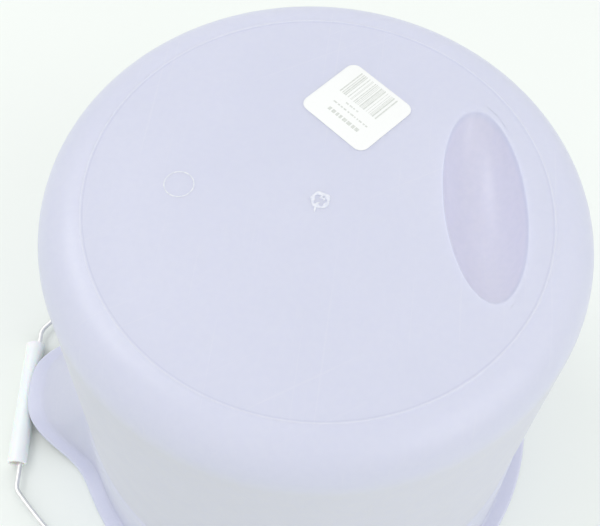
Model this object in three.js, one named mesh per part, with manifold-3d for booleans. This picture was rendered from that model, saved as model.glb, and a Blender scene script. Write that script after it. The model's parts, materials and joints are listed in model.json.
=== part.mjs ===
// Wash bucket: a moulded plastic pail with a pouring spout, turned upside down on its rim, with
// its wire bail folded down beside the spout. Millimetres, +Z up.
//
// In the pail's own frame the pail's axis is Z, the rim rests on Z = 0, the closed base is on
// top, the spout points along -X and the two ears of the bail lie on the Y axis.

import * as THREE from 'three';
import { mergeVertices } from 'three/addons/utils/BufferGeometryUtils.js';
import Module from 'manifold-3d';

const wasm = await Module();
wasm.setup();

// ---------------------------------------------------------------- driving dimensions

// Pail: body, corner and base.
const PAIL_HEIGHT = 240;
const CORNER_WALL_RADIUS = 120; // outside of the wall where the base corner starts
const CORNER_ROUND = 20;
const WALL = 2.2;
const BASE_THICKNESS = 2.4;

// Pail: the collar below the shoulder, and the rim flange.
const BODY_TAPER = 7.4; // how much wider the wall is at the shoulder than at the corner
const COLLAR_HEIGHT = 62;
const COLLAR_TAPER = 5;
const SHOULDER_RISE = 3.5;
const SHOULDER_STEP = 1.6;
const FLANGE_WIDTH = 9;
const FLANGE_THICKNESS = 3;
const FLANGE_FILLET = 2;
const MOUTH_ROUND = 1.2;

// Spout: a lobe of the collar and its flange, whose lip curls up off the rim's plane, far
// enough for the grip to lie under it.
const SPOUT_REACH = 29.4;
const SPOUT_HALF_ANGLE = 14.4; // degrees at which the lobe has fallen to 1/e
const SPOUT_SQUARENESS = 3; // exponent of the lobe's outline
const SPOUT_FLARE = 1.15; // exponent of the channel's slope, 1 for a straight one
const SPOUT_HEIGHT = 56; // from the rim's plane to the channel's upper end
const LIP_GRIP_GAP = 0.2;

// Finger recess in the base, opposite the spout.
const RECESS_LENGTH = 96;
const RECESS_WIDTH = 35;
const RECESS_DEPTH = 18;
const RECESS_MARGIN = 12.5; // from the recess to where the base turns into the corner
const RECESS_CENTRE_LIFT = 6; // height of the hollow's widest section above the base

// Ears for the bail.
const PIVOT_HEIGHT = 17;
const EAR_WIDTH = 26;
const EAR_HEIGHT = 33;
const EAR_PROUD = 4; // how far the ear's outer face stands out past the flange
const EAR_PLATE = 3;
const EAR_RIB = 2.6;
const EAR_HOLE_CLEARANCE = 0.35;

// Bail wire.
const WIRE_RADIUS = 1.6;
const BAIL_GRIP_HALF = 49.4; // half of the straight run that carries the grip
const BAIL_SIDE_SHIFT = -9; // how far use has bent the straight run towards +Y
const BAIL_BEND_ANGLE = 41; // degrees, from the straight run to the leg
const BAIL_BEND_ROUND = 9;
const BAIL_EAR_GAP = 2.8; // between the ear's face and the wire that passes it
const EAR_BEND_ROUND = 5;
const HOOK_BEND_ROUND = 3.4;
const HOOK_LENGTH = 10;
const HOOK_WALL_GAP = 1.2;

// Grip tube, loose on the wire, lying on the surface that the pail stands on.
const GRIP_RADIUS = 5.8;
const GRIP_BORE = 4.2;
const GRIP_LENGTH = 80;
const GRIP_EDGE = 0.7;
const GRIP_PLAY_GAP = 0.4; // left between the wire and the bore on the pail's side
const GRIP_SHIFT = -6; // where along the straight run the grip has come to rest
const GRIP_PAST_LIP = 2.4; // from the spout's tip out to the grip's axis

// Label on the base.
const LABEL_LENGTH = 38;
const LABEL_WIDTH = 35;
const LABEL_THICKNESS = 0.25;
const LABEL_GAP = 0.1;
const LABEL_ROUND = 4.5;
const LABEL_X = 17;
const LABEL_Y = 48.5;
const LABEL_TURN = -45; // degrees

// Fineness of the round shapes.
const PAIL_SEGMENTS = 72;
const CORNER_STEPS = 6;
const COLLAR_STEPS = 5;
const FILLET_STEPS = 4;
const WIRE_SIDES = 10;
const LEG_STEPS = 9;
const BEND_STEPS = 4;
const GRIP_SIDES = 28;
const HOLE_SIDES = 20;
const SPHERE_SEGMENTS = 28;
const SPHERE_RINGS = 16;
const OVERRUN = 5; // how far a cutting solid runs past the face that it cuts

// ---------------------------------------------------------------- worked-out dimensions

const rad = THREE.MathUtils.degToRad;
const BODY_SHOULDER_RADIUS = CORNER_WALL_RADIUS + BODY_TAPER;
const COLLAR_SHOULDER_RADIUS = BODY_SHOULDER_RADIUS + SHOULDER_STEP;
const COLLAR_RIM_RADIUS = COLLAR_SHOULDER_RADIUS + COLLAR_TAPER;
const RIM_RADIUS = COLLAR_RIM_RADIUS + FLANGE_WIDTH;
const BASE_FLAT_RADIUS = CORNER_WALL_RADIUS - CORNER_ROUND;
const CORNER_HEIGHT = PAIL_HEIGHT - CORNER_ROUND;
const SHOULDER_HEIGHT = COLLAR_HEIGHT + SHOULDER_RISE;
const RECESS_CENTRE = BASE_FLAT_RADIUS - RECESS_MARGIN - RECESS_WIDTH / 2;
const EAR_FACE = RIM_RADIUS + EAR_PROUD;
const LIP_RISE = 2 * GRIP_RADIUS + LIP_GRIP_GAP;
const GRIP_DISTANCE = RIM_RADIUS + SPOUT_REACH + GRIP_PAST_LIP;
const GRIP_PLAY = GRIP_BORE - WIRE_RADIUS - GRIP_PLAY_GAP;
const BAIL_DROP = PIVOT_HEIGHT - GRIP_RADIUS;
const BAIL_TILT = Math.atan2(BAIL_DROP, GRIP_DISTANCE);
const BAIL_LENGTH = Math.hypot(GRIP_DISTANCE, BAIL_DROP) - GRIP_PLAY;
const BAIL_EAR_DISTANCE = EAR_FACE + BAIL_EAR_GAP + WIRE_RADIUS;
const HOOK_DISTANCE = collarOutside(PIVOT_HEIGHT) - WALL - HOOK_WALL_GAP - WIRE_RADIUS;

// The whole part is centred over its own footprint.
const FOOTPRINT_SHIFT = (GRIP_DISTANCE + GRIP_RADIUS - RIM_RADIUS) / 2;

// ---------------------------------------------------------------- helpers

// Outside radius of the plain collar at a height above the rim.
function collarOutside(height) {
  const share = height / COLLAR_HEIGHT;
  return THREE.MathUtils.lerp(COLLAR_RIM_RADIUS, COLLAR_SHOULDER_RADIUS, share);
}

// Points on an arc, in degrees, both ends included.
function arc(centreR, centreZ, radius, from, to, steps) {
  const points = [];
  for (let i = 0; i <= steps; i += 1) {
    const angle = rad(THREE.MathUtils.lerp(from, to, i / steps));
    const r = centreR + radius * Math.cos(angle);
    const z = centreZ + radius * Math.sin(angle);
    points.push(new THREE.Vector2(r, z));
  }
  return points;
}

function toSolid(geometry) {
  const bare = geometry.clone();
  bare.deleteAttribute('normal');
  bare.deleteAttribute('uv');
  const merged = mergeVertices(bare, 1e-4);
  const index = merged.index.array;
  const kept = [];
  for (let i = 0; i < index.length; i += 3) {
    const [a, b, c] = index.slice(i, i + 3);
    if (a !== b && b !== c && c !== a) kept.push(a, b, c);
  }
  const vertProperties = new Float32Array(merged.attributes.position.array);
  const triVerts = new Uint32Array(kept);
  return new wasm.Manifold(new wasm.Mesh({ numProp: 3, vertProperties, triVerts }));
}

function toGeometry(solid) {
  const mesh = solid.getMesh();
  const geometry = new THREE.BufferGeometry();
  geometry.setAttribute('position', new THREE.BufferAttribute(mesh.vertProperties, 3));
  geometry.setIndex(new THREE.BufferAttribute(mesh.triVerts, 1));
  geometry.computeVertexNormals();
  return geometry;
}

function namedMesh(name, geometry, material) {
  const mesh = new THREE.Mesh(geometry, material);
  mesh.name = name;
  return mesh;
}

// ---------------------------------------------------------------- pail

// Half-section of the pail without its spout, from the base's inside over the rim and back to
// the base's outside, which is the order that makes the turned faces point outwards.
function pailProfile() {
  const insideRound = CORNER_ROUND - WALL;
  const flangeOuter = RIM_RADIUS - FLANGE_THICKNESS / 2;
  const mouth = COLLAR_RIM_RADIUS - WALL;
  const points = [new THREE.Vector2(0, PAIL_HEIGHT)];
  points.push(...arc(BASE_FLAT_RADIUS, CORNER_HEIGHT, CORNER_ROUND, 90, 0, CORNER_STEPS));
  points.push(new THREE.Vector2(BODY_SHOULDER_RADIUS, SHOULDER_HEIGHT));
  const filletTop = FLANGE_THICKNESS + FLANGE_FILLET;
  for (let i = 0; i < COLLAR_STEPS; i += 1) {
    const z = THREE.MathUtils.lerp(COLLAR_HEIGHT, filletTop, i / COLLAR_STEPS);
    points.push(new THREE.Vector2(collarOutside(z), z));
  }
  const filletR = collarOutside(filletTop) + FLANGE_FILLET;
  points.push(...arc(filletR, filletTop, FLANGE_FILLET, 180, 270, FILLET_STEPS));
  points.push(...arc(flangeOuter, FLANGE_THICKNESS / 2, FLANGE_THICKNESS / 2, 90, -90, FILLET_STEPS));
  points.push(...arc(mouth + MOUTH_ROUND, MOUTH_ROUND, MOUTH_ROUND, 270, 180, 2));
  for (let i = 1; i <= COLLAR_STEPS; i += 1) {
    const z = THREE.MathUtils.lerp(MOUTH_ROUND, COLLAR_HEIGHT, i / COLLAR_STEPS);
    points.push(new THREE.Vector2(collarOutside(z) - WALL, z));
  }
  points.push(new THREE.Vector2(BODY_SHOULDER_RADIUS - WALL, SHOULDER_HEIGHT));
  const insideTop = PAIL_HEIGHT - BASE_THICKNESS - insideRound;
  points.push(...arc(BASE_FLAT_RADIUS, insideTop, insideRound, 0, 90, CORNER_STEPS - 1));
  points.push(new THREE.Vector2(0, PAIL_HEIGHT - BASE_THICKNESS));
  return points.reverse();
}

// The spout's share, 1 on its centre line and 0 away from it, at an angle from -X in radians.
function spoutShare(angle) {
  const share = Math.abs(angle) / rad(SPOUT_HALF_ANGLE);
  return Math.exp(-(share ** SPOUT_SQUARENESS));
}

// Pushes the collar and its flange out into the spout, and lifts the lip off the rim's plane.
function addSpout(geometry) {
  const position = geometry.attributes.position;
  for (let i = 0; i < position.count; i += 1) {
    const x = position.getX(i);
    const y = position.getY(i);
    const z = position.getZ(i);
    const radius = Math.hypot(x, y);
    const even = Math.atan2(y, -x);
    // The steps round the pail are made finest at the spout and widest opposite it.
    const angle = even - 0.5 * Math.sin(even);
    const drop = (SPOUT_HEIGHT - z) / (SPOUT_HEIGHT - FLANGE_THICKNESS);
    const depth = THREE.MathUtils.clamp(drop, 0, 1);
    const share = spoutShare(angle);
    const outward = radius + SPOUT_REACH * share * depth ** SPOUT_FLARE;
    const height = z + LIP_RISE * share * depth ** 2;
    position.setXYZ(i, -outward * Math.cos(angle), outward * Math.sin(angle), height);
  }
}

// An ear before its pocket and hole are cut: a round-topped block that stands on the flange.
function earOutline(inset, bottom) {
  const half = EAR_WIDTH / 2 - inset;
  const shoulder = EAR_HEIGHT - EAR_WIDTH / 2;
  const shape = new THREE.Shape();
  shape.moveTo(-half, bottom);
  shape.lineTo(half, bottom);
  shape.lineTo(half, shoulder);
  shape.absarc(0, shoulder, half, 0, Math.PI, false);
  shape.lineTo(-half, bottom);
  return shape;
}

// Extrudes an XZ outline along Y, between two distances from the pail's axis.
function extrudeAlongY(shape, from, to, curveSegments) {
  const options = { depth: to - from, bevelEnabled: false, curveSegments };
  const geometry = new THREE.ExtrudeGeometry(shape, options);
  geometry.rotateX(Math.PI / 2);
  geometry.translate(0, to, 0);
  return geometry;
}

function earSolids() {
  const wallMiddle = collarOutside(EAR_HEIGHT) - WALL / 2;
  const pocketInside = COLLAR_RIM_RADIUS + 1;
  const block = extrudeAlongY(earOutline(0, 0), wallMiddle, EAR_FACE, 8);
  const pocketShape = new THREE.Shape();
  const pocketHalf = EAR_WIDTH / 2 - EAR_RIB;
  pocketShape.moveTo(-pocketHalf, FLANGE_THICKNESS);
  pocketShape.lineTo(pocketHalf, FLANGE_THICKNESS);
  pocketShape.lineTo(pocketHalf, EAR_HEIGHT + OVERRUN);
  pocketShape.lineTo(-pocketHalf, EAR_HEIGHT + OVERRUN);
  pocketShape.closePath();
  const pocket = extrudeAlongY(pocketShape, pocketInside, EAR_FACE - EAR_PLATE, 1);
  const holeRadius = WIRE_RADIUS + EAR_HOLE_CLEARANCE;
  const holeInside = HOOK_DISTANCE - WIRE_RADIUS;
  const holeLength = EAR_FACE + OVERRUN - holeInside;
  const hole = new THREE.CylinderGeometry(holeRadius, holeRadius, holeLength, HOLE_SIDES);
  hole.translate(0, holeInside + holeLength / 2, PIVOT_HEIGHT);
  return { block: toSolid(block), pocket: toSolid(pocket), hole: toSolid(hole) };
}

// The hollow of the finger recess, grown by a wall for the bump that it makes inside the pail.
function recessSolid(grow) {
  const deep = RECESS_DEPTH + RECESS_CENTRE_LIFT;
  const widen = 1 / Math.sqrt(1 - (RECESS_CENTRE_LIFT / deep) ** 2);
  const geometry = new THREE.SphereGeometry(1, SPHERE_SEGMENTS, SPHERE_RINGS);
  const halfWidth = (RECESS_WIDTH / 2) * widen + grow;
  const halfLength = (RECESS_LENGTH / 2) * widen + grow;
  geometry.rotateX(Math.PI / 2);
  geometry.scale(halfWidth, halfLength, deep + grow);
  geometry.translate(RECESS_CENTRE, 0, PAIL_HEIGHT + RECESS_CENTRE_LIFT);
  return toSolid(geometry);
}

function belowBaseFace() {
  const size = 2 * RECESS_LENGTH;
  const top = PAIL_HEIGHT - BASE_THICKNESS / 2;
  const geometry = new THREE.BoxGeometry(size, size, PAIL_HEIGHT / 2);
  geometry.translate(RECESS_CENTRE, 0, top - PAIL_HEIGHT / 4);
  return toSolid(geometry);
}

function pailGeometry() {
  const shell = new THREE.LatheGeometry(pailProfile(), PAIL_SEGMENTS);
  shell.rotateX(Math.PI / 2);
  shell.rotateZ(Math.PI / 2);
  addSpout(shell);
  let pail = toSolid(shell);
  const ear = earSolids();
  for (const turn of [0, 180]) {
    pail = pail.add(ear.block.rotate([0, 0, turn]));
  }
  for (const turn of [0, 180]) {
    pail = pail.subtract(ear.pocket.rotate([0, 0, turn]));
    pail = pail.subtract(ear.hole.rotate([0, 0, turn]));
  }
  const bump = recessSolid(WALL).intersect(belowBaseFace());
  return toGeometry(pail.add(bump).subtract(recessSolid(0)));
}

// ---------------------------------------------------------------- bail

// Points of the bail's centre line on one side, in the bail's own plane. X is 0 at the pivot and
// grows towards the grip; the run starts at the hook's end and stops where the straight run ends.
function bailSidePath(runEnd) {
  const bend = rad(BAIL_BEND_ANGLE);
  const bendX = BAIL_LENGTH - BAIL_BEND_ROUND * (1 - Math.cos(bend));
  const bendY = runEnd + BAIL_BEND_ROUND * Math.sin(bend);
  const earY = BAIL_EAR_DISTANCE;
  const points = [new THREE.Vector2(-HOOK_LENGTH, HOOK_DISTANCE)];
  const hookCentreY = HOOK_DISTANCE + HOOK_BEND_ROUND;
  points.push(...arc(-HOOK_BEND_ROUND, hookCentreY, HOOK_BEND_ROUND, -90, 0, BEND_STEPS));
  const stubEnd = new THREE.Vector2(0, earY - EAR_BEND_ROUND);
  const earCorner = new THREE.Vector2(0, earY);
  const legStart = new THREE.Vector2(EAR_BEND_ROUND, earY);
  const earCurve = new THREE.QuadraticBezierCurve(stubEnd, earCorner, legStart);
  points.push(...earCurve.getPoints(BEND_STEPS));
  // The leg leaves the ear square to the pivots' line and meets the bend along its tangent.
  const legEnd = new THREE.Vector2(bendX, bendY);
  const legCorner = new THREE.Vector2(bendX - (earY - bendY) * Math.tan(bend), earY);
  const leg = new THREE.QuadraticBezierCurve(legStart, legCorner, legEnd);
  points.push(...leg.getPoints(LEG_STEPS).slice(1));
  const bendCentreX = BAIL_LENGTH - BAIL_BEND_ROUND;
  const bendPoints = arc(bendCentreX, runEnd, BAIL_BEND_ROUND, BAIL_BEND_ANGLE, 0, BEND_STEPS);
  points.push(...bendPoints.slice(1));
  return points;
}

// A path whose samples are exactly its own points, so that long straight runs stay single steps.
class StationPath extends THREE.Curve {
  constructor(points) {
    super();
    this.points = points;
  }

  getPoint(share) {
    return this.points[Math.round(share * (this.points.length - 1))].clone();
  }

  getPointAt(share) {
    return this.getPoint(share);
  }

  getTangentAt(share) {
    const last = this.points.length - 1;
    const i = Math.round(share * last);
    const before = this.points[Math.max(i - 1, 0)];
    const after = this.points[Math.min(i + 1, last)];
    return after.clone().sub(before).normalize();
  }
}

function roundSection(radius, sides) {
  const shape = new THREE.Shape();
  for (let i = 0; i < sides; i += 1) {
    const angle = (2 * Math.PI * i) / sides;
    const x = radius * Math.cos(angle);
    const y = radius * Math.sin(angle);
    if (i === 0) shape.moveTo(x, y);
    else shape.lineTo(x, y);
  }
  shape.closePath();
  return shape;
}

function bailGeometry() {
  const left = bailSidePath(BAIL_GRIP_HALF + BAIL_SIDE_SHIFT);
  const right = bailSidePath(BAIL_GRIP_HALF - BAIL_SIDE_SHIFT).reverse();
  const points = left.map((p) => new THREE.Vector3(-p.x, p.y, 0));
  points.push(...right.map((p) => new THREE.Vector3(-p.x, -p.y, 0)));
  const extrudePath = new StationPath(points);
  const options = { steps: points.length - 1, bevelEnabled: false, extrudePath };
  return new THREE.ExtrudeGeometry(roundSection(WIRE_RADIUS, WIRE_SIDES), options);
}

// ---------------------------------------------------------------- grip and label

function gripGeometry() {
  const end = GRIP_LENGTH / 2;
  const profile = [
    [GRIP_BORE, -end + GRIP_EDGE],
    [GRIP_BORE + GRIP_EDGE, -end],
    [GRIP_RADIUS - GRIP_EDGE, -end],
    [GRIP_RADIUS, -end + GRIP_EDGE],
    [GRIP_RADIUS, end - GRIP_EDGE],
    [GRIP_RADIUS - GRIP_EDGE, end],
    [GRIP_BORE + GRIP_EDGE, end],
    [GRIP_BORE, end - GRIP_EDGE],
    [GRIP_BORE, -end + GRIP_EDGE],
  ].map(([r, y]) => new THREE.Vector2(r, y));
  return new THREE.LatheGeometry(profile, GRIP_SIDES);
}

function labelGeometry() {
  const halfX = LABEL_LENGTH / 2;
  const halfY = LABEL_WIDTH / 2;
  const r = LABEL_ROUND;
  const shape = new THREE.Shape();
  shape.moveTo(-halfX + r, -halfY);
  shape.lineTo(halfX - r, -halfY);
  shape.absarc(halfX - r, -halfY + r, r, -Math.PI / 2, 0, false);
  shape.lineTo(halfX, halfY - r);
  shape.absarc(halfX - r, halfY - r, r, 0, Math.PI / 2, false);
  shape.lineTo(-halfX + r, halfY);
  shape.absarc(-halfX + r, halfY - r, r, Math.PI / 2, Math.PI, false);
  shape.lineTo(-halfX, -halfY + r);
  shape.absarc(-halfX + r, -halfY + r, r, Math.PI, 1.5 * Math.PI, false);
  const options = { depth: LABEL_THICKNESS, bevelEnabled: false, curveSegments: 5 };
  return new THREE.ExtrudeGeometry(shape, options);
}

// ---------------------------------------------------------------- materials and assembly

const pailPlastic = new THREE.MeshStandardMaterial({
  color: '#c3c6e4',
  roughness: 0.38,
  metalness: 0,
});
const wireSteel = new THREE.MeshStandardMaterial({
  color: '#c9cac8',
  roughness: 0.3,
  metalness: 1,
});
const gripPlastic = new THREE.MeshStandardMaterial({
  color: '#f4f6f4',
  roughness: 0.45,
  metalness: 0,
});
const labelPaper = new THREE.MeshStandardMaterial({
  color: '#f3f6f3',
  roughness: 0.6,
  metalness: 0,
});

const bucket = new THREE.Group();
bucket.position.set(FOOTPRINT_SHIFT, 0, 0);

bucket.add(namedMesh('pail', pailGeometry(), pailPlastic));

const bail = namedMesh('bail_wire', bailGeometry(), wireSteel);
bail.position.set(0, 0, PIVOT_HEIGHT);
bail.rotation.y = -BAIL_TILT;
bucket.add(bail);

const grip = namedMesh('grip', gripGeometry(), gripPlastic);
grip.position.set(-GRIP_DISTANCE, GRIP_SHIFT, GRIP_RADIUS);
bucket.add(grip);

const label = namedMesh('label', labelGeometry(), labelPaper);
label.position.set(LABEL_X, LABEL_Y, PAIL_HEIGHT + LABEL_GAP);
label.rotation.z = rad(LABEL_TURN);
bucket.add(label);

const part = new THREE.Group();
part.add(bucket);

export default part;
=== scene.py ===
"""The looks of the wash bucket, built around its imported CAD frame.

A moulded plastic pail stands upside down on its rim. Its wire bail lies folded beside the
pouring spout, with a loose white grip tube on it, and a paper label sits on the base.
"""

import json
import math
import random

import bmesh
import bpy
import numpy as np
from mathutils import Matrix, Vector


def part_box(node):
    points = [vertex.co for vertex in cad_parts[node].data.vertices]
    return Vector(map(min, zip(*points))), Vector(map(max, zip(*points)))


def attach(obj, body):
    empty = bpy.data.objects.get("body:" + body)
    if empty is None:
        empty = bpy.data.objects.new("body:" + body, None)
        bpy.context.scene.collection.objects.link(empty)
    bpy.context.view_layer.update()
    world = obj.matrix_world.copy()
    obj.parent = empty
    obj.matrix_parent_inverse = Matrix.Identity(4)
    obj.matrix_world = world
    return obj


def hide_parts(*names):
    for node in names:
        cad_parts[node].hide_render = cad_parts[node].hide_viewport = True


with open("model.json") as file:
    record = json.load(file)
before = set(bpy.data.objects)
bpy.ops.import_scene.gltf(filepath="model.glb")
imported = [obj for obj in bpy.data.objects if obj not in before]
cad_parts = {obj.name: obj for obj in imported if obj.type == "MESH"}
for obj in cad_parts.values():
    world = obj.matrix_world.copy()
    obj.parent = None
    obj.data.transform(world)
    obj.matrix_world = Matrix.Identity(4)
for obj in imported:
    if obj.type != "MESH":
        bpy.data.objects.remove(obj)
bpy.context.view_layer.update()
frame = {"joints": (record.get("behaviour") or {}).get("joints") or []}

MM = 0.001

# ---------------------------------------------------------------- sizes, in millimetres

SWING = next(j for j in frame["joints"] if j["name"] == "bail_swing")
AXIS_X = SWING["pos_m"][0] / MM
PIVOT_HEIGHT = SWING["pos_m"][2] / MM

PAIL_LOW, PAIL_HIGH = (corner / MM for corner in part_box("pail"))
GRIP_LOW, GRIP_HIGH = (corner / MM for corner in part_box("grip"))
LABEL_LOW, LABEL_HIGH = (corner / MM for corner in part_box("label"))

# Pail.
HEIGHT = PAIL_HIGH.z
RIM_RADIUS = PAIL_HIGH.x - AXIS_X
EAR_FACE = PAIL_HIGH.y
FLANGE_WIDTH = 9.0
FLANGE_THICKNESS = 3.0
FLANGE_FILLET = 2.0
COLLAR_TAPER = 5.0
COLLAR_HEIGHT = 62.0
SHOULDER_RISE = 3.5
SHOULDER_STEP = 1.6
BODY_TAPER = 7.4
CORNER_ROUND = 20.0
WALL = 2.2
BASE_THICKNESS = 2.4
MOUTH_ROUND = 1.2
COLLAR_RIM_RADIUS = RIM_RADIUS - FLANGE_WIDTH
COLLAR_SHOULDER_RADIUS = COLLAR_RIM_RADIUS - COLLAR_TAPER
BODY_SHOULDER_RADIUS = COLLAR_SHOULDER_RADIUS - SHOULDER_STEP
CORNER_WALL_RADIUS = BODY_SHOULDER_RADIUS - BODY_TAPER
BASE_FLAT_RADIUS = CORNER_WALL_RADIUS - CORNER_ROUND
CORNER_HEIGHT = HEIGHT - CORNER_ROUND
SHOULDER_HEIGHT = COLLAR_HEIGHT + SHOULDER_RISE
PAIL_STEPS = 288

# Spout.
SPOUT_REACH = AXIS_X - PAIL_LOW.x - RIM_RADIUS
SPOUT_HALF_ANGLE = 14.4
SPOUT_SQUARENESS = 3.0
SPOUT_FLARE = 1.15
SPOUT_HEIGHT = 56.0
SPOUT_TOP_ROUND = 0.035
GRIP_RADIUS = (GRIP_HIGH.z - GRIP_LOW.z) / 2
LIP_GRIP_GAP = 0.2
LIP_RISE = 2 * GRIP_RADIUS + LIP_GRIP_GAP

# Finger recess.
RECESS_LENGTH = 96.0
RECESS_WIDTH = 35.0
RECESS_DEPTH = 18.0
RECESS_MARGIN = 12.5
RECESS_CENTRE_LIFT = 6.0
RECESS_EDGE_ROUND = 1.1
RECESS_OUTER_SLOPE = 40.0
RECESS_CENTRE = BASE_FLAT_RADIUS - RECESS_MARGIN - RECESS_WIDTH / 2

# Raised lines left by the mould on the base.
WITNESS_HEIGHT = 0.3
WITNESS_HALF_WIDTH = 0.45

# Ears.
EAR_WIDTH = 26.0
EAR_HEIGHT = 33.0
EAR_PLATE = 3.0
EAR_RIB = 2.6
EAR_EDGE_ROUND = 1.1

# Bail.
WIRE_RADIUS = 1.6
WIRE_END_LENGTH = 0.5
WIRE_END_SHARE = 0.72
BAIL_GRIP_HALF = 49.4
BAIL_SIDE_SHIFT = -9.0
BAIL_BEND_ANGLE = math.radians(41)
BAIL_BEND_ROUND = 9.0
BAIL_EAR_GAP = 2.8
HOLE_CLEARANCE = 0.35
EAR_BEND_ROUND = 5.0
HOOK_BEND_ROUND = 3.4
HOOK_LENGTH = 10.0
HOOK_WALL_GAP = 1.2
GRIP_BORE = 4.2
GRIP_PLAY = 2.2
GRIP_DISTANCE = AXIS_X - (GRIP_LOW.x + GRIP_HIGH.x) / 2

# Label.
LABEL_LENGTH = 38.0
LABEL_WIDTH = 35.0
LABEL_ROUND = 4.5
LABEL_SINK = 0.02
LABEL_THICKNESS = 0.26
LABEL_EDGE_ROUND = 0.08
LABEL_TURN = math.radians(-45)

# What is printed on the label. Bars and rows lie at shares of its length and width.
BARS_START = -0.31
BARS_STOP = 0.30
BARS_LOW = 0.02
BARS_HIGH = 0.44
BAR_WIDTHS = (0.28, 0.28, 0.5, 0.75)
BAR_GAPS = (0.3, 0.45, 0.7, 1.1)
# Each row of strokes: its place across the label, its height in mm, where it starts and stops.
STROKE_ROWS = (
    (-0.07, 0.8, -0.13, 0.06),
    (-0.16, 0.8, -0.25, 0.27),
    (-0.3, 1.9, -0.22, 0.25),
)
PRINT_LOW = HEIGHT + 0.2
PRINT_HIGH = HEIGHT + 0.275
BOX_FACES = ((3, 2, 1, 0), (4, 5, 6, 7), (0, 1, 5, 4), (1, 2, 6, 5), (2, 3, 7, 6), (3, 0, 4, 7))

SEED = 12

# Marks of the mould: name, centre, radius, thickness, rise, unevenness, seed, steps and sides,
# and the stretch of the ring in radians, where it isn't whole.
MOULD_MARKS = (
    ("gate_ring", (AXIS_X + 0.5, -1.4), 3.4, 0.85, 0.3, 0.22, SEED, 72, 10, None),
    ("gate_nub", (AXIS_X + 1.9, 0.2), 0.9, 0.7, 0.28, 0.3, SEED + 3, 32, 8, None),
    ("gate_tail", (AXIS_X + 1.5, -6.0), 3.6, 0.5, 0.2, 0.2, SEED + 5, 26, 8, (1.9, 3.5)),
    ("mould_dial", (AXIS_X - 59, 5), 6.3, 0.3, 0.05, 0.0, SEED + 7, 96, 8, None),
)


# ---------------------------------------------------------------- mesh helpers


def lerp(a, b, share):
    return a + (b - a) * share


def smoothstep(low, high, value):
    share = min(max((value - low) / (high - low), 0.0), 1.0)
    return share * share * (3 - 2 * share)


def arc(centre_r, centre_z, radius, start, stop, steps):
    """Points on an arc, in degrees, both ends included."""
    points = []
    for i in range(steps + 1):
        angle = math.radians(lerp(start, stop, i / steps))
        points.append((centre_r + radius * math.cos(angle), centre_z + radius * math.sin(angle)))
    return points


def line(start, stop, steps):
    """Points on a line, both ends included."""
    shares = [i / steps for i in range(steps + 1)]
    return [(lerp(start[0], stop[0], share), lerp(start[1], stop[1], share)) for share in shares]


def mesh_object(name, verts, faces):
    """A smooth-shaded object from points in millimetres."""
    mesh = bpy.data.meshes.new(name)
    mesh.from_pydata([Vector(v) * MM for v in verts], [], faces)
    bm = bmesh.new()
    bm.from_mesh(mesh)
    bmesh.ops.recalc_face_normals(bm, faces=bm.faces)
    bm.to_mesh(mesh)
    bm.free()
    mesh.shade_smooth()
    piece = bpy.data.objects.new(name, mesh)
    bpy.context.scene.collection.objects.link(piece)
    return piece


def ring_shell(name, rings):
    """Joins rings of points into one closed shell. A ring of one point is a pole."""
    verts, starts = [], []
    for ring in rings:
        starts.append(len(verts))
        verts.extend(ring)
    faces = []
    for k in range(len(rings) - 1):
        a, b = starts[k], starts[k + 1]
        count = max(len(rings[k]), len(rings[k + 1]))
        for i in range(count):
            j = (i + 1) % count
            if len(rings[k]) == 1:
                faces.append((a, b + i, b + j))
            elif len(rings[k + 1]) == 1:
                faces.append((a + i, b, a + j))
            else:
                faces.append((a + i, b + i, b + j, a + j))
    return mesh_object(name, verts, faces)


def boolean(target, tool, operation):
    """Applies a boolean to target and deletes the tool."""
    modifier = target.modifiers.new(operation.lower(), "BOOLEAN")
    modifier.operation = operation
    modifier.solver = "MANIFOLD"
    modifier.object = tool
    apply_modifiers(target)
    bpy.data.objects.remove(tool)


def apply_modifiers(piece):
    graph = bpy.context.evaluated_depsgraph_get()
    mesh = bpy.data.meshes.new_from_object(piece.evaluated_get(graph), depsgraph=graph)
    piece.modifiers.clear()
    piece.data = mesh


def round_edges(piece, width, segments):
    """Bevels the edges that are sharper than the faceting of a round face."""
    modifier = piece.modifiers.new("round", "BEVEL")
    modifier.width = width * MM
    modifier.segments = segments
    modifier.limit_method = "ANGLE"
    modifier.angle_limit = math.radians(40)
    apply_modifiers(piece)


def prism(name, outline, bottom, top, turn, place):
    """A closed solid that stands on an outline of (x, y) points, turned and then placed."""
    count = len(outline)
    verts = [(x, y, bottom) for x, y in outline] + [(x, y, top) for x, y in outline]
    faces = [tuple(range(count - 1, -1, -1)), tuple(range(count, 2 * count))]
    faces += [(i, (i + 1) % count, count + (i + 1) % count, count + i) for i in range(count)]
    verts = [turn @ Vector(v) + Vector(place) for v in verts]
    return mesh_object(name, verts, faces)


def sharpen(piece, angle):
    """Keeps edges steeper than an angle crisp under smooth shading."""
    piece.data.shade_smooth()
    piece.data.set_sharp_from_angle(angle=math.radians(angle))


# ---------------------------------------------------------------- pail


def collar_outside(height):
    """Outside radius of the plain collar at a height above the rim."""
    return lerp(COLLAR_RIM_RADIUS, COLLAR_SHOULDER_RADIUS, height / COLLAR_HEIGHT)


def shoulder(offset):
    """The wall's step from the collar to the narrower body, as a soft S."""
    points = []
    steps = 10
    for i in range(steps + 1):
        share = i / steps
        z = lerp(COLLAR_HEIGHT - 1.0, SHOULDER_HEIGHT + 0.5, share)
        straight = lerp(COLLAR_SHOULDER_RADIUS, BODY_SHOULDER_RADIUS, smoothstep(0, 1, share))
        points.append((straight - offset, z))
    return points


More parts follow.
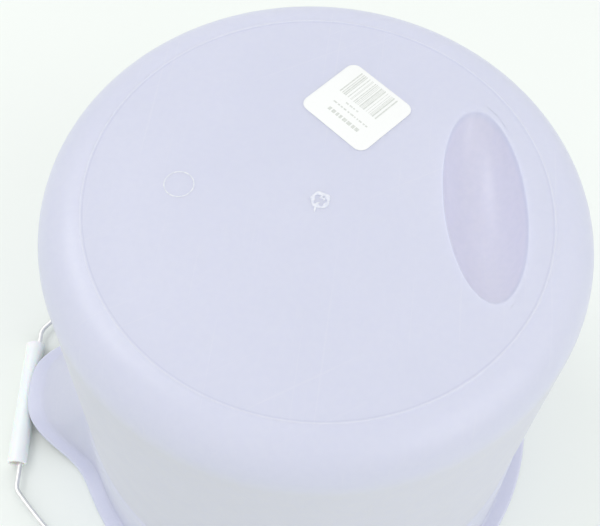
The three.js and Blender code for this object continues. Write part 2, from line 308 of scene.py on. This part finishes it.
def outside_profile():
    """(radius, height) from the edge of the flat base down to the rim's outer edge."""
    points = []
    half = WITNESS_HALF_WIDTH
    for offset, height in ((-2, 0), (-1, 0.35), (-0.4, 0.95), (0.4, 0.95), (1, 0.3), (2, 0)):
        radius = BASE_FLAT_RADIUS - 2 * half + offset * half
        points.append((radius, HEIGHT + height * WITNESS_HEIGHT))
    points += arc(BASE_FLAT_RADIUS, CORNER_HEIGHT, CORNER_ROUND, 88, 0, 26)
    body_top = (CORNER_WALL_RADIUS, CORNER_HEIGHT)
    points += line(body_top, shoulder(0)[-1], 26)[1:-1]
    points += shoulder(0)[::-1]
    fillet_top = FLANGE_THICKNESS + FLANGE_FILLET
    wall_end = (collar_outside(fillet_top), fillet_top)
    points += line(shoulder(0)[0], wall_end, 26)[1:]
    points += arc(wall_end[0] + FLANGE_FILLET, fillet_top, FLANGE_FILLET, 180, 270, 9)[1:]
    half_flange = FLANGE_THICKNESS / 2
    points += arc(RIM_RADIUS - half_flange, half_flange, half_flange, 90, -90, 14)
    return points


def inside_profile():
    """(radius, height) from the mouth up the inside of the wall to the flat of the base."""
    mouth = COLLAR_RIM_RADIUS - WALL
    points = arc(mouth + MOUTH_ROUND, MOUTH_ROUND, MOUTH_ROUND, 270, 180, 6)
    points += line((mouth, MOUTH_ROUND), shoulder(WALL)[0], 26)[1:-1]
    points += shoulder(WALL)
    inside_round = CORNER_ROUND - WALL
    inside_top = HEIGHT - BASE_THICKNESS - inside_round
    points += line(shoulder(WALL)[-1], (CORNER_WALL_RADIUS - WALL, inside_top), 26)[1:-1]
    points += arc(BASE_FLAT_RADIUS, inside_top, inside_round, 0, 90, 18)
    return points


def spout_share(angle):
    """1 on the spout's centre line and 0 away from it, at an angle from -X in radians."""
    return math.exp(-((abs(angle) / math.radians(SPOUT_HALF_ANGLE)) ** SPOUT_SQUARENESS))


def station_angles():
    """Angles round the pail from -X, finest at the spout and widest opposite it."""
    angles = []
    for i in range(PAIL_STEPS):
        even = 2 * math.pi * i / PAIL_STEPS - math.pi
        angles.append(even - 0.5 * math.sin(even))
    return angles


def spout_ring(radius, height, angles):
    """One level of the pail, pushed out into the spout and lifted at its lip."""
    drop = (SPOUT_HEIGHT - height) / (SPOUT_HEIGHT - FLANGE_THICKNESS)
    depth = min((drop + math.hypot(drop, SPOUT_TOP_ROUND)) / 2, 1.0)
    ring = []
    for angle in angles:
        share = spout_share(angle)
        out = radius + SPOUT_REACH * share * depth**SPOUT_FLARE
        lift = LIP_RISE * share * depth**2
        ring.append((-out * math.cos(angle) + AXIS_X, out * math.sin(angle), height + lift))
    return ring


class Recess:
    """The finger recess as an elliptical bowl below a flat face, seen from outside or inside."""

    def __init__(self, grow, face):
        deep = RECESS_DEPTH + RECESS_CENTRE_LIFT
        widen = 1 / math.sqrt(1 - (RECESS_CENTRE_LIFT / deep) ** 2)
        self.half_x = RECESS_WIDTH / 2 * widen + grow
        self.half_y = RECESS_LENGTH / 2 * widen + grow
        self.deep = deep + grow
        self.face = face
        self.lift = HEIGHT + RECESS_CENTRE_LIFT - face

    def height(self, share):
        """Height of the surface where the distance from the centre is share of the ellipse."""
        if share < 1:
            sunk = self.deep * math.sqrt(1 - share * share) - self.lift
        else:
            sunk = -self.lift - RECESS_OUTER_SLOPE * (share - 1)
        rounded = (sunk + math.hypot(sunk, RECESS_EDGE_ROUND)) / 2
        return self.face - rounded

    def ring(self, share, angles):
        z = self.height(share)
        ring = []
        for angle in angles:
            x = -self.half_x * share * math.cos(angle) + RECESS_CENTRE + AXIS_X
            ring.append((x, self.half_y * share * math.sin(angle), z))
        return ring

    def centre(self):
        return [(RECESS_CENTRE + AXIS_X, 0, self.height(0))]


def recess_shares():
    """Where the recess's rings lie, closest together at its edge."""
    inner = [math.sin(math.pi / 2 * i / 22) * 0.93 for i in range(1, 23)]
    edge = [lerp(0.935, 1.05, i / 16) for i in range(17)]
    return inner + edge


def base_rings(recess, angles, outline, steps):
    """Rings over the base: the recess from its centre, then a flat that runs out to outline."""
    shares = recess_shares()
    rings = [recess.centre()] + [recess.ring(share, angles) for share in shares]
    start = recess.ring(shares[-1], angles)
    for k in range(1, steps):
        share = smoothstep(-0.2, 1.2, k / steps)
        ring = [tuple(lerp(p, q, share) for p, q in zip(a, b)) for a, b in zip(start, outline)]
        rings.append(ring)
    return rings


def pail_shell():
    angles = station_angles()
    outside = [spout_ring(r, z, angles) for r, z in outside_profile()]
    inside = [spout_ring(r, z, angles) for r, z in inside_profile()]
    top = base_rings(Recess(0, HEIGHT), angles, outside[0], 16)
    under = base_rings(Recess(WALL, HEIGHT - BASE_THICKNESS), angles, inside[-1], 12)
    return ring_shell("pail_body", top + outside + inside + under[::-1])


def ear_outline(half_width, top):
    """The round-topped outline of an ear, as (across, height) points."""
    spring = top - half_width
    steps = 24
    points = [(-half_width, 0.0), (half_width, 0.0)]
    for i in range(steps + 1):
        angle = math.pi * i / steps
        points.append((half_width * math.cos(angle), spring + half_width * math.sin(angle)))
    return points


def ear_tools(side):
    """The block, pocket and hole of the ear on side +1 or -1."""
    stand = Matrix.Rotation(math.pi / 2, 4, "X")
    wall_middle = collar_outside(EAR_HEIGHT) - WALL / 2
    outline = ear_outline(EAR_WIDTH / 2, EAR_HEIGHT)
    near, far = sorted((side * wall_middle, side * EAR_FACE))
    block = prism("ear_block", outline, -far, -near, stand, (AXIS_X, 0, 0))
    round_edges(block, EAR_EDGE_ROUND, 4)
    half = EAR_WIDTH / 2 - EAR_RIB
    pocket_inside = COLLAR_RIM_RADIUS + 1
    near, far = sorted((side * pocket_inside, side * (EAR_FACE - EAR_PLATE)))
    low, high = FLANGE_THICKNESS, EAR_HEIGHT + 8
    sides = [(-half, low), (half, low), (half, high), (-half, high)]
    pocket = prism("ear_pocket", sides, -far, -near, stand, (AXIS_X, 0, 0))
    round_edges(pocket, EAR_EDGE_ROUND, 3)
    radius = WIRE_RADIUS + HOLE_CLEARANCE
    turns = np.linspace(0, 2 * math.pi, 33)[:-1]
    circle = [(radius * math.cos(a), radius * math.sin(a)) for a in turns]
    near, far = sorted((side * (hook_distance() - WIRE_RADIUS), side * (EAR_FACE + 5)))
    hole = prism("ear_hole", circle, -far, -near, stand, (AXIS_X, 0, PIVOT_HEIGHT))
    return block, pocket, hole


def build_pail():
    pail = pail_shell()
    for side in (1, -1):
        block, pocket, hole = ear_tools(side)
        boolean(pail, block, "UNION")
        boolean(pail, pocket, "DIFFERENCE")
        boolean(pail, hole, "DIFFERENCE")
    sharpen(pail, 38)
    return pail


# ---------------------------------------------------------------- bail and grip


def hook_distance():
    """From the pail's axis to the centre line of the hooked wire inside the wall."""
    return collar_outside(PIVOT_HEIGHT) - WALL - HOOK_WALL_GAP - WIRE_RADIUS


def bail_length():
    """From the pivot to the wire's straight run, in the bail's own plane."""
    return math.hypot(GRIP_DISTANCE, PIVOT_HEIGHT - GRIP_RADIUS) - GRIP_PLAY


def curve(start, corner, end, steps):
    """Points on a curve that leaves start and meets end along the lines to corner."""
    points = []
    for i in range(steps + 1):
        t = i / steps
        p = Vector(start) * (1 - t) ** 2 + Vector(corner) * (2 * t * (1 - t)) + Vector(end) * t**2
        points.append((p.x, p.y))
    return points


def bail_side_path(run_end):
    """The wire's centre line on one side, from the hook's end to the end of the straight run.

    X is 0 at the pivot and grows towards the grip.
    """
    length = bail_length()
    bend_x = length - BAIL_BEND_ROUND * (1 - math.cos(BAIL_BEND_ANGLE))
    bend_y = run_end + BAIL_BEND_ROUND * math.sin(BAIL_BEND_ANGLE)
    ear_y = EAR_FACE + BAIL_EAR_GAP + WIRE_RADIUS
    hook_y = hook_distance()
    points = line((-HOOK_LENGTH, hook_y), (-HOOK_BEND_ROUND, hook_y), 5)[:-1]
    points += arc(-HOOK_BEND_ROUND, hook_y + HOOK_BEND_ROUND, HOOK_BEND_ROUND, -90, 0, 10)
    points += curve((0, ear_y - EAR_BEND_ROUND), (0, ear_y), (EAR_BEND_ROUND, ear_y), 12)
    corner_x = bend_x - (ear_y - bend_y) * math.tan(BAIL_BEND_ANGLE)
    points += curve((EAR_BEND_ROUND, ear_y), (corner_x, ear_y), (bend_x, bend_y), 60)[1:]
    bend_start = math.degrees(BAIL_BEND_ANGLE)
    bend = arc(length - BAIL_BEND_ROUND, run_end, BAIL_BEND_ROUND, bend_start, 0, 12)
    return points + bend[1:]


def tube_rings(path, radius, sides):
    """Rings round a planar path in the XY plane, with slightly rounded ends."""
    rings = []
    count = len(path)
    for i, point in enumerate(path):
        before = path[max(i - 1, 0)]
        after = path[min(i + 1, count - 1)]
        along = (after - before).normalized()
        across = Vector((-along.y, along.x, 0))
        ring = []
        for k in range(sides):
            angle = 2 * math.pi * k / sides
            sideways = across * (radius * math.cos(angle))
            ring.append(point + sideways + Vector((0, 0, radius * math.sin(angle))))
        rings.append(ring)
    first = end_cap(rings[0], path[0], path[1])
    last = end_cap(rings[-1], path[-1], path[-2])
    return [first] + rings + [last]


def end_cap(ring, end, inner):
    """A smaller ring just past the end of a wire, for its rounded edge."""
    out = (end - inner).normalized() * WIRE_END_LENGTH
    return [end + (p - end) * WIRE_END_SHARE + out for p in ring]


def build_bail():
    left = bail_side_path(BAIL_GRIP_HALF + BAIL_SIDE_SHIFT)
    right = [(x, -y) for x, y in bail_side_path(BAIL_GRIP_HALF - BAIL_SIDE_SHIFT)]
    run = line(left[-1], right[-1], 24)[1:-1]
    path = [Vector((-x, y, 0)) for x, y in left + run + right[::-1]]
    rings = tube_rings(path, WIRE_RADIUS, 24)
    first = sum(rings[0], Vector()) / len(rings[0])
    last = sum(rings[-1], Vector()) / len(rings[-1])
    tilt = math.atan2(PIVOT_HEIGHT - GRIP_RADIUS, GRIP_DISTANCE)
    turn = Matrix.Rotation(-tilt, 4, "Y")
    place = Vector((AXIS_X, 0, PIVOT_HEIGHT))
    rings = [[turn @ Vector(p) + place for p in ring] for ring in [[first]] + rings + [[last]]]
    return ring_shell("bail_steel", rings)


def build_grip():
    """The grip tube, turned about Y, with rounded lips at both ends."""
    middle = (GRIP_BORE + GRIP_RADIUS) / 2
    half_wall = (GRIP_RADIUS - GRIP_BORE) / 2
    end = (GRIP_HIGH.y - GRIP_LOW.y) / 2 - half_wall
    profile = line((GRIP_BORE, -end), (GRIP_BORE, end), 16)
    profile += arc(middle, end, half_wall, 180, 0, 12)[1:-1]
    profile += line((GRIP_RADIUS, end), (GRIP_RADIUS, -end), 40)
    profile += arc(middle, -end, half_wall, 0, -180, 12)[1:-1]
    sides = 64
    centre = (GRIP_LOW + GRIP_HIGH) / 2
    rings = []
    for radius, along in profile:
        ring = []
        for k in range(sides):
            angle = 2 * math.pi * k / sides
            x = centre.x + radius * math.cos(angle)
            ring.append((x, centre.y + along, centre.z + radius * math.sin(angle)))
        rings.append(ring)
    return closed_loop_shell("grip_tube_white", rings)


def closed_loop_shell(name, rings):
    """Joins rings into a shell whose last ring meets its first, such as a pipe with a bore."""
    sides = len(rings[0])
    verts = [p for ring in rings for p in ring]
    faces = []
    for k in range(len(rings)):
        a, b = k * sides, ((k + 1) % len(rings)) * sides
        faces += [(a + i, b + i, b + (i + 1) % sides, a + (i + 1) % sides) for i in range(sides)]
    return mesh_object(name, verts, faces)


# ---------------------------------------------------------------- label and mould marks


def rounded_rectangle(length, width, radius, steps=10):
    """Outline of a rectangle with round corners, centred on 0."""
    points = []
    corners = ((1, -1, -90), (1, 1, 0), (-1, 1, 90), (-1, -1, 180))
    for sx, sy, start in corners:
        centre_x = sx * (length / 2 - radius)
        centre_y = sy * (width / 2 - radius)
        points += arc(centre_x, centre_y, radius, start, start + 90, steps)
    return points


def label_frame():
    centre = (LABEL_LOW + LABEL_HIGH) / 2
    return Matrix.Rotation(LABEL_TURN, 4, "Z"), Vector((centre.x, centre.y, 0))


def build_label():
    turn, place = label_frame()
    outline = rounded_rectangle(LABEL_LENGTH, LABEL_WIDTH, LABEL_ROUND)
    low, high = HEIGHT - LABEL_SINK, HEIGHT + LABEL_THICKNESS
    label = prism("label_paper", outline, low, high, turn, place)
    round_edges(label, LABEL_EDGE_ROUND, 2)
    sharpen(label, 50)
    return label


def bar_marks(dice):
    """The bars, as (left, right, low, high) on the label."""
    marks = []
    along = BARS_START * LABEL_LENGTH
    while along < BARS_STOP * LABEL_LENGTH:
        width = dice.choice(BAR_WIDTHS)
        marks.append((along, along + width, BARS_LOW * LABEL_WIDTH, BARS_HIGH * LABEL_WIDTH))
        along += width + dice.choice(BAR_GAPS)
    return marks


def stroke_marks(dice):
    """The rows of short strokes, as (left, right, low, high) on the label."""
    marks = []
    for row, height, start, stop in STROKE_ROWS:
        along = start * LABEL_LENGTH
        while along < stop * LABEL_LENGTH:
            width = dice.uniform(0.7, 2.2)
            y = row * LABEL_WIDTH
            marks.append((along, along + width, y, y + height))
            along += width + dice.uniform(0.4, 1.0)
    return marks


def build_print():
    """Plain bars and short strokes, standing in for what is printed on the label."""
    turn, place = label_frame()
    dice = random.Random(SEED)
    marks = bar_marks(dice)
    marks += stroke_marks(dice)
    verts, faces = [], []
    for x0, x1, y0, y1 in marks:
        start = len(verts)
        corners = ((x0, y0), (x1, y0), (x1, y1), (x0, y1))
        for z in (PRINT_LOW, PRINT_HIGH):
            verts += [turn @ Vector((x, y, z)) + place for x, y in corners]
        for face in BOX_FACES:
            faces.append(tuple(start + i for i in face))
    printed = mesh_object("label_print", verts, faces)
    printed.data.shade_flat()
    return printed


def lumpy_ring(name, centre, radius, thick, rise, wobble, seed, steps, sides, span):
    """A low irregular bead on the base, either a whole ring or the stretch that span gives."""
    dice = random.Random(seed)
    waves = [(n, dice.uniform(-1, 1), dice.uniform(0, 2 * math.pi)) for n in range(2, 7)]
    whole = span is None
    start, stop = span or (0.0, 2 * math.pi)
    rings = []
    for i in range(steps + (0 if whole else 1)):
        angle = lerp(start, stop, i / steps)
        swell = sum(a * math.sin(n * angle + p) for n, a, p in waves) / len(waves)
        r = radius * (1 + wobble * swell)
        t = thick * (1 + 1.6 * wobble * math.sin(5 * angle + seed))
        if not whole:
            t *= max(math.sin(math.pi * i / steps), 0.05) ** 0.5
        ring = []
        for k in range(sides):
            turn = 2 * math.pi * k / sides
            out = r + t * math.cos(turn)
            z = HEIGHT + rise * t / thick * math.sin(turn)
            ring.append((centre[0] + out * math.cos(angle), centre[1] + out * math.sin(angle), z))
        rings.append(ring)
    if whole:
        return closed_loop_shell(name, rings)
    ends = [[tuple(sum(c) / sides for c in zip(*ring))] for ring in (rings[0], rings[-1])]
    return ring_shell(name, [ends[0]] + rings + [ends[1]])


def build_mould_marks():
    """The torn ring of the gate at the base's centre, its tail, and a faint date ring."""
    return [lumpy_ring(*mark) for mark in MOULD_MARKS]


# ---------------------------------------------------------------- materials

# The painted highlight and painted shade lines of the ridge on the base, in metres: half their
# width, the softness of their edges, and how far inside the highlight line the shade line lies.
LINE_HALF = 0.0003
LINE_SOFT = 0.0002
LINE_SHADE_GAP = 0.0008


class Nodes:
    """Short ways to add and link shader nodes."""

    def __init__(self, name):
        self.material = bpy.data.materials.new(name)
        self.material.use_nodes = True
        self.tree = self.material.node_tree
        self.tree.nodes.clear()
        self.shader = self.add("ShaderNodeBsdfPrincipled")
        output = self.add("ShaderNodeOutputMaterial")
        self.link(self.shader.outputs["BSDF"], output.inputs["Surface"])
        self.place = self.add("ShaderNodeTexCoord").outputs["Object"]

    def add(self, kind, **values):
        node = self.tree.nodes.new(kind)
        for key, value in values.items():
            setattr(node, key, value)
        return node

    def link(self, source, target):
        self.tree.links.new(source, target)

    def set(self, **values):
        for key, value in values.items():
            self.shader.inputs[key.replace("_", " ")].default_value = value

    def stretched(self, scale):
        node = self.add("ShaderNodeMapping")
        node.inputs["Scale"].default_value = scale
        self.link(self.place, node.inputs["Vector"])
        return node.outputs["Vector"]

    def noise(self, scale, detail=4.0, roughness=0.5, vector=None):
        node = self.add("ShaderNodeTexNoise")
        node.inputs["Scale"].default_value = scale
        node.inputs["Detail"].default_value = detail
        node.inputs["Roughness"].default_value = roughness
        self.link(vector or self.place, node.inputs["Vector"])
        return node.outputs["Fac"]

    def ramp(self, value, from_low, from_high, to_low, to_high):
        node = self.add("ShaderNodeMapRange")
        node.interpolation_type = "SMOOTHSTEP"
        names = ("From Min", "From Max", "To Min", "To Max")
        for name, number in zip(names, (from_low, from_high, to_low, to_high)):
            node.inputs[name].default_value = number
        self.link(value, node.inputs["Value"])
        return node.outputs["Result"]

    def math(self, operation, a, b=None):
        node = self.add("ShaderNodeMath", operation=operation)
        for socket, value in zip(node.inputs, (a, b)):
            if value is None:
                continue
            if isinstance(value, (int, float)):
                socket.default_value = value
            else:
                self.link(value, socket)
        return node.outputs["Value"]

    def mix(self, factor, a, b):
        node = self.add("ShaderNodeMix", data_type="RGBA")
        self.link(factor, node.inputs["Factor"])
        for name, value in (("A", a), ("B", b)):
            socket = [s for s in node.inputs if s.name == name and s.type == "RGBA"][0]
            if isinstance(value, tuple):
                socket.default_value = (*value, 1)
            else:
                self.link(value, socket)
        return [s for s in node.outputs if s.type == "RGBA"][0]

    def bump(self, height, strength, distance, under=None):
        node = self.add("ShaderNodeBump")
        node.inputs["Strength"].default_value = strength
        node.inputs["Distance"].default_value = distance
        self.link(height, node.inputs["Height"])
        if under is not None:
            self.link(under, node.inputs["Normal"])
        return node.outputs["Normal"]


def scratches(nodes, angle, rarity):
    """Sparse thin scuff lines that run one way: 1 on a line and 0 off it."""
    turn = nodes.add("ShaderNodeMapping")
    turn.inputs["Rotation"].default_value = (0, 0, angle)
    nodes.link(nodes.place, turn.inputs["Vector"])
    thin = nodes.add("ShaderNodeMapping")
    thin.inputs["Scale"].default_value = (900.0, 9.0, 60.0)
    nodes.link(turn.outputs["Vector"], thin.inputs["Vector"])
    value = nodes.noise(1.0, 1.0, 0.3, thin.outputs["Vector"])
    return nodes.ramp(value, rarity, rarity + 0.07, 0.0, 1.0)


def both(nodes, a, b):
    return nodes.math("MULTIPLY", a, b)


def band(nodes, value, low, high, soft):
    """1 where value lies between low and high, with soft ends."""
    rise = nodes.ramp(value, low - soft, low + soft, 0.0, 1.0)
    fall = nodes.ramp(value, high - soft, high + soft, 1.0, 0.0)
    return both(nodes, rise, fall)


def radius_from_axis(nodes, split):
    """Distance from the pail's axis, in metres."""
    across = nodes.math("SUBTRACT", split.outputs["X"], AXIS_X * MM)
    square = nodes.math("MULTIPLY", across, across)
    square_y = nodes.math("MULTIPLY", split.outputs["Y"], split.outputs["Y"])
    return nodes.math("SQRT", nodes.math("ADD", square, square_y))


def wall_mask(nodes, height, radius):
    """1 on the outside of the body's wall, between the shoulder and the corner."""
    low = nodes.ramp(height, (SHOULDER_HEIGHT - 2) * MM, (SHOULDER_HEIGHT + 1) * MM, 0.0, 1.0)
    high = nodes.ramp(height, (CORNER_HEIGHT - 4) * MM, (CORNER_HEIGHT + 9) * MM, 1.0, 0.0)
    outer = nodes.ramp(radius, (BASE_FLAT_RADIUS + 6) * MM, (BASE_FLAT_RADIUS + 12) * MM, 0.0, 1.0)
    return both(nodes, outer, both(nodes, low, high))


def painted_recess_light_mask(nodes, height, radius):
    """1 down in the finger recess, where a paler colour is painted in as light."""
    sunk = nodes.ramp(height, (HEIGHT - 4) * MM, (HEIGHT - 1) * MM, 1.0, 0.0)
    inner = nodes.ramp(radius, (BASE_FLAT_RADIUS - 4) * MM, (BASE_FLAT_RADIUS - 1) * MM, 1.0, 0.0)
    return both(nodes, sunk, inner)


def circle_line(nodes, height, radius, centre):
    """1 on a thin circle of the base, whose radius is centre in metres."""
    top = nodes.ramp(height, (HEIGHT - 0.5) * MM, (HEIGHT - 0.1) * MM, 0.0, 1.0)
    low, high = centre - LINE_HALF, centre + LINE_HALF
    return both(nodes, top, band(nodes, radius, low, high, LINE_SOFT))


def pail_colour(nodes, wall, scuff, height, radius):
    """Periwinkle. Painted light: a greyer wall (reflection and shade), a paler recess, and a highlight and a
    shade line on the ridge.
    """
    line_radius = (BASE_FLAT_RADIUS - 2 * WITNESS_HALF_WIDTH) * MM
    # Masks for the painted highlight along the ridge and the painted shade line just inside it.
    painted_ridge_highlight = circle_line(nodes, height, radius, line_radius)
    shade = circle_line(nodes, height, radius, line_radius - LINE_SHADE_GAP)
    cloud = nodes.ramp(nodes.noise(9.0, 3.0, 0.55), 0.3, 0.7, 0.0, 1.0)
    colour = nodes.mix(cloud, (0.624, 0.648, 0.806), (0.646, 0.668, 0.824))
    # Painted reflection and shade: the body's wall is mixed towards a greyer colour.
    colour = nodes.mix(wall, colour, (0.640, 0.655, 0.750))
    # Painted light: the finger recess is mixed towards a paler colour against its shade.
    colour = nodes.mix(painted_recess_light_mask(nodes, height, radius), colour, (0.705, 0.705, 0.860))
    mottle = nodes.ramp(nodes.noise(330.0, 2.0, 0.5), 0.3, 0.7, 0.0, 0.16)
    colour = nodes.mix(mottle, colour, (0.58, 0.605, 0.785))
    # Painted shade: a darker line just inside the ridge, along its inner flank.
    colour = nodes.mix(nodes.math("MULTIPLY", shade, 0.3), colour, (0.50, 0.52, 0.70))
    # Painted highlight: a pale line along the top of the ridge.
    colour = nodes.mix(nodes.math("MULTIPLY", painted_ridge_highlight, 0.15), colour, (0.82, 0.82, 0.87))
    return nodes.mix(nodes.math("MULTIPLY", scuff, 0.13), colour, (0.75, 0.76, 0.86))


def pail_material():
    """Satin polyethylene. The body's wall has a finer matt texture than the base and the rim."""
    nodes = Nodes("pail_plastic_moulded")
    split = nodes.add("ShaderNodeSeparateXYZ")
    nodes.link(nodes.place, split.inputs["Vector"])
    height = split.outputs["Z"]
    radius = radius_from_axis(nodes, split)
    wall = wall_mask(nodes, height, radius)
    scuff = nodes.math("MAXIMUM", scratches(nodes, 0.12, 0.70), scratches(nodes, 1.1, 0.72))
    colour = pail_colour(nodes, wall, scuff, height, radius)
    nodes.link(colour, nodes.shader.inputs["Base Color"])
    sheen = nodes.ramp(nodes.noise(60.0, 4.0, 0.6), 0.3, 0.7, 0.31, 0.38)
    sheen = nodes.math("ADD", sheen, nodes.math("MULTIPLY", wall, 0.13))
    rough = nodes.math("ADD", sheen, nodes.math("MULTIPLY", scuff, 0.12))
    nodes.link(rough, nodes.shader.inputs["Roughness"])
    wave = nodes.bump(nodes.noise(26.0, 2.0, 0.4), 0.10, 0.0012)
    fine = both(nodes, nodes.noise(1500.0, 3.0, 0.6), nodes.math("ADD", 0.4, wall))
    grain = nodes.bump(fine, 0.10, 0.00012, wave)
    nodes.link(grain, nodes.shader.inputs["Normal"])
    nodes.set(IOR=1.5, Subsurface_Weight=0.3, Subsurface_Scale=0.01)
    nodes.shader.inputs["Subsurface Radius"].default_value = (0.8, 0.8, 1.0)
    return nodes.material


def gate_material():
    nodes = Nodes("pail_plastic_torn")
    torn = nodes.ramp(nodes.noise(600.0, 3.0), 0.35, 0.65, 0.0, 1.0)
    colour = nodes.mix(torn, (0.68, 0.71, 0.81), (0.80, 0.82, 0.88))
    nodes.link(colour, nodes.shader.inputs["Base Color"])
    nodes.link(nodes.ramp(nodes.noise(900.0), 0.3, 0.7, 0.32, 0.6), nodes.shader.inputs["Roughness"])
    nodes.link(nodes.bump(nodes.noise(1400.0, 4.0), 0.5, 0.0003), nodes.shader.inputs["Normal"])
    nodes.set(IOR=1.5)
    return nodes.material


def steel_material():
    nodes = Nodes("wire_zinc")
    drawn = nodes.noise(1.0, 3.0, 0.6, nodes.stretched((300.0, 30.0, 900.0)))
    bloom = nodes.noise(160.0, 4.0, 0.6)
    colour = nodes.mix(nodes.ramp(bloom, 0.35, 0.7, 0.0, 1.0), (0.80, 0.81, 0.80), (0.88, 0.89, 0.88))
    nodes.link(colour, nodes.shader.inputs["Base Color"])
    nodes.link(nodes.ramp(drawn, 0.3, 0.7, 0.32, 0.46), nodes.shader.inputs["Roughness"])
    nodes.link(nodes.bump(drawn, 0.15, 0.0001), nodes.shader.inputs["Normal"])
    nodes.set(Metallic=1.0)
    return nodes.material


def grip_material():
    nodes = Nodes("grip_white_plastic")
    cloud = nodes.ramp(nodes.noise(40.0, 3.0), 0.35, 0.65, 0.0, 1.0)
    colour = nodes.mix(cloud, (0.945, 0.955, 0.95), (0.96, 0.97, 0.965))
    nodes.link(colour, nodes.shader.inputs["Base Color"])
    nodes.link(nodes.ramp(nodes.noise(220.0, 3.0), 0.3, 0.7, 0.32, 0.44), nodes.shader.inputs["Roughness"])
    drawn = nodes.noise(1.0, 2.0, 0.5, nodes.stretched((700.0, 12.0, 700.0)))
    nodes.link(nodes.bump(drawn, 0.12, 0.0002), nodes.shader.inputs["Normal"])
    nodes.set(IOR=1.5, Subsurface_Weight=0.35, Subsurface_Scale=0.004)
    return nodes.material


def paper_material():
    nodes = Nodes("label_coated_paper")
    fibre = nodes.noise(1800.0, 5.0, 0.65)
    colour = nodes.mix(nodes.ramp(fibre, 0.3, 0.7, 0.0, 1.0), (0.86, 0.877, 0.868), (0.88, 0.897, 0.886))
    nodes.link(colour, nodes.shader.inputs["Base Color"])
    nodes.link(nodes.ramp(nodes.noise(500.0), 0.3, 0.7, 0.42, 0.55), nodes.shader.inputs["Roughness"])
    nodes.link(nodes.bump(fibre, 0.1, 0.0001), nodes.shader.inputs["Normal"])
    return nodes.material


def ink_material():
    nodes = Nodes("label_faded_ink")
    worn = nodes.noise(1400.0, 4.0, 0.7)
    colour = nodes.mix(nodes.ramp(worn, 0.35, 0.65, 0.0, 1.0), (0.58, 0.61, 0.58), (0.70, 0.73, 0.69))
    nodes.link(colour, nodes.shader.inputs["Base Color"])
    nodes.link(nodes.ramp(worn, 0.3, 0.7, 0.5, 0.65), nodes.shader.inputs["Roughness"])
    return nodes.material


def dress(piece, material, body, slot, *replaced):
    piece.data.materials.clear()
    piece.data.materials.append(material)
    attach(piece, body)
    if replaced:
        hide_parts(*replaced)


# ---------------------------------------------------------------- stage

# Places and the floor in metres, angles in degrees, lens and sensor in millimetres.
CAMERA_PLACE = Vector((AXIS_X - 15.0, -213.0, 564.5)) * MM
CAMERA_ELEVATION = 60.8
CAMERA_TURN = -2.3
CAMERA_ROLL = 3.23
CAMERA_LENS = 55.45
SENSOR_WIDTH = 36.0
FLOOR_HALF = 40.0
WORLD_STRENGTH = 0.895


def add_camera():
    data = bpy.data.cameras.new("camera")
    data.sensor_width = SENSOR_WIDTH
    data.lens = CAMERA_LENS
    data.clip_start = 0.01
    camera = bpy.data.objects.new("camera", data)
    bpy.context.scene.collection.objects.link(camera)
    turn = Matrix.Rotation(math.radians(CAMERA_TURN), 4, "Z")
    lean = Matrix.Rotation(math.radians(90 - CAMERA_ELEVATION), 4, "X")
    roll = Matrix.Rotation(math.radians(CAMERA_ROLL), 4, "Z")
    camera.matrix_world = Matrix.Translation(CAMERA_PLACE) @ turn @ lean @ roll
    bpy.context.scene.camera = camera


def add_floor():
    half = FLOOR_HALF
    corners = [(-half, -half, 0), (half, -half, 0), (half, half, 0), (-half, half, 0)]
    mesh = bpy.data.meshes.new("floor")
    mesh.from_pydata(corners, [], [(0, 1, 2, 3)])
    floor = bpy.data.objects.new("floor", mesh)
    bpy.context.scene.collection.objects.link(floor)
    nodes = Nodes("floor_pale")
    tone = nodes.ramp(nodes.noise(3.0, 2.0), 0.3, 0.7, 0.0, 1.0)
    nodes.link(nodes.mix(tone, (0.865, 0.905, 0.87), (0.875, 0.915, 0.88)), nodes.shader.inputs["Base Color"])
    nodes.set(Roughness=0.7, Specular_IOR_Level=0.2)
    mesh.materials.append(nodes.material)


def add_light(name, place, target, size, power):
    """A soft white disc of light that faces target. Places and size in metres, power in watts."""
    data = bpy.data.lights.new(name, "AREA")
    data.shape = "DISK"
    data.size = size
    data.energy = power
    light = bpy.data.objects.new(name, data)
    light.location = place
    light.rotation_euler = (Vector(target) - Vector(place)).to_track_quat("-Z", "Y").to_euler()
    bpy.context.scene.collection.objects.link(light)


def add_lights():
    add_light("key_soft", (-0.8, 0.4, 1.5), (0, 0, 0.1), 0.8, 4.6)
    add_light("fill_soft", (1.0, -0.7, 1.1), (0.1, 0, 0.05), 1.2, 3.9)
    world = bpy.data.worlds.new("studio")
    world.use_nodes = True
    background = world.node_tree.nodes["Background"]
    background.inputs["Color"].default_value = (1.0, 1.0, 1.0, 1)
    background.inputs["Strength"].default_value = WORLD_STRENGTH
    bpy.context.scene.world = world
    bpy.context.scene.view_settings.view_transform = "Standard"


# ---------------------------------------------------------------- assembly


def main():
    plastic = pail_material()
    dress(build_pail(), plastic, "bucket", "pail_plastic", "pail")
    torn = gate_material()
    for mark in build_mould_marks():
        dress(mark, torn, "bucket", "pail_plastic")
    dress(build_label(), paper_material(), "bucket", "label_paper", "label")
    dress(build_print(), ink_material(), "bucket", "label_paper")
    dress(build_bail(), steel_material(), "bail", "wire_steel", "bail_wire")
    dress(build_grip(), grip_material(), "grip_tube", "grip_plastic", "grip")
    add_floor()
    add_lights()
    add_camera()


main()
